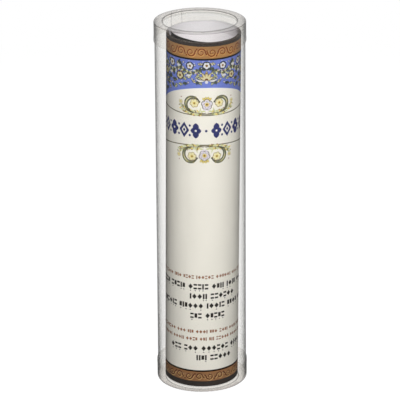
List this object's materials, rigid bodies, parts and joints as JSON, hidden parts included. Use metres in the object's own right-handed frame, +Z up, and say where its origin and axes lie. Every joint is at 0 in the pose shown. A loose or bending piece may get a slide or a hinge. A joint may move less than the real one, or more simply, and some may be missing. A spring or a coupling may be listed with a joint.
{
  "type": "megillah case",
  "caption": "Clear plastic tube with a push-on clear cap at each end, holding a rolled printed paper scroll that leans inside it.",
  "frame": {"origin": "middle of the bottom cap's resting ring, on the surface that the case stands on", "axes": "+Z up along the tube's axis, +X to the right of the scroll's title side, +Y to its back"},
  "size_m": [0.0702, 0.0702, 0.2902],
  "materials": {
    "tube_plastic": "clear rigid film, glossy",
    "cap_plastic": "clear formed sheet, glossy",
    "printed_paper": "coated paper with colour print on the outside",
    "text_paper": "coated paper, blank on the inside"
  },
  "bodies": {
    "tube": {"clear_tube": "tube_plastic"},
    "top_cap": {"top_cap": "cap_plastic"},
    "bottom_cap": {"bottom_cap": "cap_plastic"},
    "scroll": {"title_leaf": "printed_paper", "middle_leaf": "text_paper", "last_leaf": "text_paper"}
  },
  "joints": [
    {"name": "top_cap_lift", "type": "slide", "parent": "tube", "child": "top_cap", "axis": [0, 0, 1], "range_m": [0, 0.33]},
    {"name": "scroll_draw", "type": "slide", "parent": "tube", "child": "scroll", "axis": [0, 0, 1], "range_m": [0, 0.3]},
    {"name": "bottom_cap_pull", "type": "slide", "parent": "tube", "child": "bottom_cap", "axis": [0, 0, -1], "range_m": [0, 0.05]}
  ],
  "couplings": [
    {"joint": "scroll_draw", "follows": "top_cap_lift", "ratio": 0.909}
  ]
}
